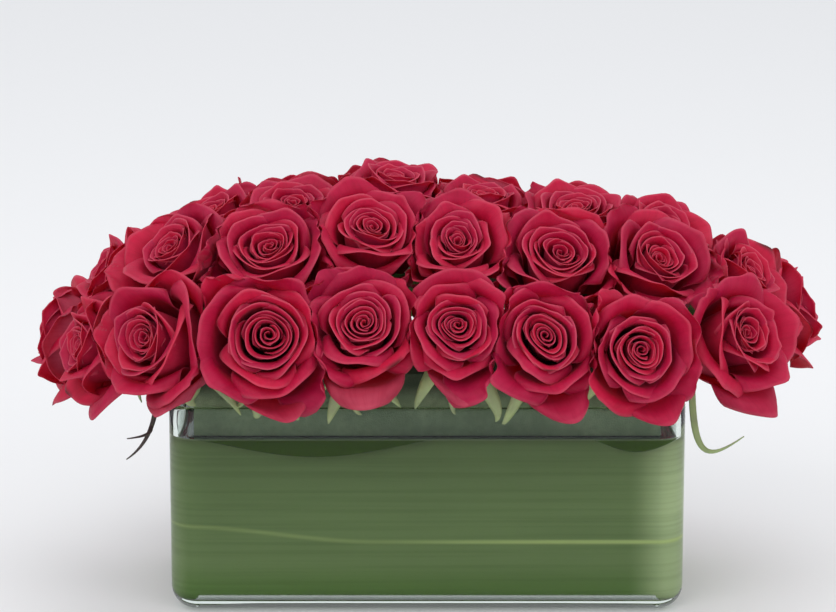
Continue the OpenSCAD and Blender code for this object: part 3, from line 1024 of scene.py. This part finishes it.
def leafBand(name, inner, side, topOf, low, material, node):
    # A band of leaf round one half of the inside, or all round it where side is 0. topOf gives the
    # height of its upper edge at a place, and the lower edge follows the foot of the glass.
    outerFace = vaseSizes["wall"] - liningSizes["into"]
    # the inner leaf lies behind the outer ones, and on the glass above them
    behind = liningSizes["thick"] + liningSizes["apart"] if inner else 0.0
    loop = np.array(roundedLoop(halfLong - outerFace, halfDeep - outerFace,
                                vaseSizes["corner"] - outerFace, 12, 90, 30))
    closed = side == 0
    order = np.arange(len(loop))
    if not closed:
        keep = loop[:, 1] * side > -0.1
        start = next(i for i in range(len(loop)) if keep[i] and not keep[i - 1])
        order = (start + np.arange(keep.sum())) % len(loop)
    path = loop[order]
    nextPath = np.roll(path, -1, 0) - np.roll(path, 1, 0)
    if not closed:
        nextPath[0] = path[1] - path[0]
        nextPath[-1] = path[-1] - path[-2]
    nextPath /= np.linalg.norm(nextPath, axis=1, keepdims=True)
    inward = np.stack([-nextPath[:, 1], nextPath[:, 0]], -1)
    innerFoot = vaseSizes["innerFoot"]
    rows, footRows = liningSizes["rows"], liningSizes["footRows"]
    foot = low + innerFoot
    both = []
    for layer in (0.0, liningSizes["thick"]):
        grid = []
        for (x, y), (nx, ny) in zip(path, inward):
            top = topOf(x, y)
            column = []
            if inner:
                edge = min(outerTop(x, y), top - 0.5)
                heights = [top + (edge + 0.6 - top) * k / 5 for k in range(6)] + [edge - 0.8]
                heights += [edge - 0.8 + (foot - edge + 0.8) * k / (rows - 7) for k in range(1, rows - 6)]
            else:
                heights = [top + (foot - top) * k / (rows - 1) for k in range(rows)]
            for k, z in enumerate(heights):
                away = layer + (behind if k > 5 else 0.0)
                column.append((x + nx * away, y + ny * away, z))
            for k in range(1, footRows):
                angle = math.radians(liningSizes["footTurn"] * k / (footRows - 1))
                bend = innerFoot * (1 - math.cos(angle)) + layer + behind
                height = low + innerFoot * (1 - math.sin(angle)) + layer * math.sin(angle)
                column.append((x + nx * bend, y + ny * bend, height))
            grid.append(column)
        both.append(np.array(grid))
    columns, deep = both[0].shape[:2]
    count = columns * deep
    index = np.arange(count).reshape(columns, deep)
    following = np.roll(index, -1, 0) if closed else index[1:]
    base = index if closed else index[:-1]
    quads = np.stack([base[:, :-1], following[:, :-1], following[:, 1:], base[:, 1:]], -1).reshape(-1, 4)
    faces = list(map(tuple, quads[:, ::-1]))
    faces.extend(map(tuple, quads + count))
    for a, b in zip(base, following):
        faces.append((a[0], b[0], b[0] + count, a[0] + count))
        faces.append((b[-1], a[-1], a[-1] + count, b[-1] + count))
    if not closed:
        for line in (index[0], index[-1]):
            for a, b in zip(line[:-1], line[1:]):
                faces.append((a, b, b + count, a + count))
    verts = np.concatenate([g.reshape(-1, 3) for g in both]) * mm
    piece = makeMesh(name, verts, faces)
    piece.data.materials.append(material)
    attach(piece, "vase")
    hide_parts(node)
    return piece


waterLine = waterHigh[2] / mm


def smoothBump(x, low, high):
    # 0 outside low to high, 1 in the middle
    q = np.clip((x - low) / (high - low), 0, 1)
    return math.sin(math.pi * q) ** 1.3


def outerTop(x, y):
    # the leaf dips below the water line on the left, and again at the right-hand end
    top = waterLine + 0.4
    if y < 0:
        top -= 11.0 * smoothBump(x, -140, 8) + 8.0 * smoothBump(x, 96, 150)
    else:
        top -= 9.0 * smoothBump(-x, -130, 10) + 6.0 * smoothBump(-x, 90, 150)
    return top


leafMat = leafMaterial("liningLeaf", False)
innerLeafMat = leafMaterial("innerLiningLeaf", True)
lowEdge = vaseSizes["base"] + 0.1
for side, node in ((-1, "lining_leaf_front"), (1, "lining_leaf_back")):
    leaf = leafBand(node + "_blade", False, side, outerTop, lowEdge, leafMat, node)
leaf = leafBand("lining_leaf_inner_blade", True, 0, lambda x, y: waterLine + 0.2, lowEdge + 1.0,
                innerLeafMat, "lining_leaf_inner")
print("stage: lining made")


# water

waterGap = vaseSizes["wall"] + 2 * liningSizes["thick"] + 0.3
foamLong = foamHigh[0] / mm + 0.15
foamDeep = foamHigh[1] / mm + 0.15
waterFoot = 30.0   # the water is made from this height up, mm
waterCorner = 9.0
# how far the water stands from the leaf, and how far under the water line
byLeaf = [(0, waterLine - waterFoot), (0, 3), (0, 0.3), (0.4, 0.6), (1.2, 0.8), (3.0, 0.9)]
# the same from the foam, with the radius of its corner between
byFoam = [(1.5, 1.5, 0.9), (0.4, 0.6, 0.6), (0, 0.3, 0.2), (0, 0.3, 3), (0, 0.3, waterLine - waterFoot)]
levels = [(halfLong - waterGap - away, halfDeep - waterGap - away, waterCorner, waterLine - under)
          for away, under in byLeaf]
levels += [(foamLong + away, foamDeep + away, radius, waterLine - under) for away, radius, under in byFoam]
water = loft("water_body", levels + [levels[0]], False)
water.data.materials.append(clearMaterial("stillWater", waterLook))
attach(water, "vase")
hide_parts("water")


# floor, light and camera

floorSizes = {"radius": 20.0, "corners": 64}   # m
floorColour = (0.76, 0.76, 0.765, 1)
floorLift = 0.06   # makes up for what the plain light leaves grey, as seen and not as it lights


def makeFloor():
    radius, corners = floorSizes["radius"], floorSizes["corners"]
    turns = [k * 2 * math.pi / corners for k in range(corners)]
    ring = [(radius * math.cos(turn), radius * math.sin(turn), 0) for turn in turns]
    piece = makeMesh("studioFloor", ring, [tuple(range(corners))])
    n = Nodes("studioFloorPaint")
    shader = n.principled({"Base Color": floorColour, "Roughness": 0.9, "Specular IOR Level": 0.1})
    lift = n.add("Emission", {"Color": (1, 1, 1, 1), "Strength": floorLift}).outputs[0]
    both = n.add("AddShader", {0: shader, 1: lift}).outputs[0]
    path = n.add("LightPath").outputs
    rays = n.math("MAXIMUM", path["Is Camera Ray"],
                  n.math("MAXIMUM", path["Is Glossy Ray"], path["Is Transmission Ray"]))
    piece.data.materials.append(n.finish(n.blend(rays, shader, both)))


makeFloor()

world = bpy.data.worlds.new("studioWorld")
bpy.context.scene.world = world
world.use_nodes = True
world.node_tree.nodes["Background"].inputs[0].default_value = (0.95, 0.97, 1.0, 1)
world.node_tree.nodes["Background"].inputs[1].default_value = 0.93


def areaLight(name, place, target, size, power, colour=(1, 1, 1)):
    light = bpy.data.lights.new(name, "AREA")
    light.shape = "RECTANGLE"
    light.size, light.size_y = size
    light.energy = power
    light.color = colour
    lamp = placed(name, light)
    lamp.location = place
    lamp.rotation_euler = (Vector(target) - Vector(place)).to_track_quat("-Z", "Y").to_euler()


areaLight("keyLight", (-1.1, -1.5, 1.7), (0, 0, 0.15), (1.5, 1.3), 11.5, (1.0, 0.99, 0.99))
areaLight("fillLight", (1.5, -1.3, 0.9), (0, 0, 0.15), (1.2, 1.2), 7)
areaLight("topLight", (0.1, 0.3, 1.9), (0, 0, 0.15), (1.6, 1.2), 6)

view = {
    "target": (-5.4, 0.0, 172.8),    # mm
    "distance": 2400.0,
    "elevation": 14.5,               # degrees above level
    "lens": 172.6,
}
camera = bpy.data.cameras.new("camera")
camera.lens = view["lens"]
camera.sensor_width = 36
camera.clip_end = 50
cameraPiece = placed("camera", camera)
tilt = math.radians(view["elevation"])
target = Vector(view["target"]) * mm
cameraPiece.location = target + Vector((0, -math.cos(tilt), math.sin(tilt))) * view["distance"] * mm
cameraPiece.rotation_euler = (math.pi / 2 - tilt, 0, 0)
bpy.context.scene.camera = cameraPiece
bpy.context.scene.view_settings.view_transform = "Standard"

print("stage: all made")
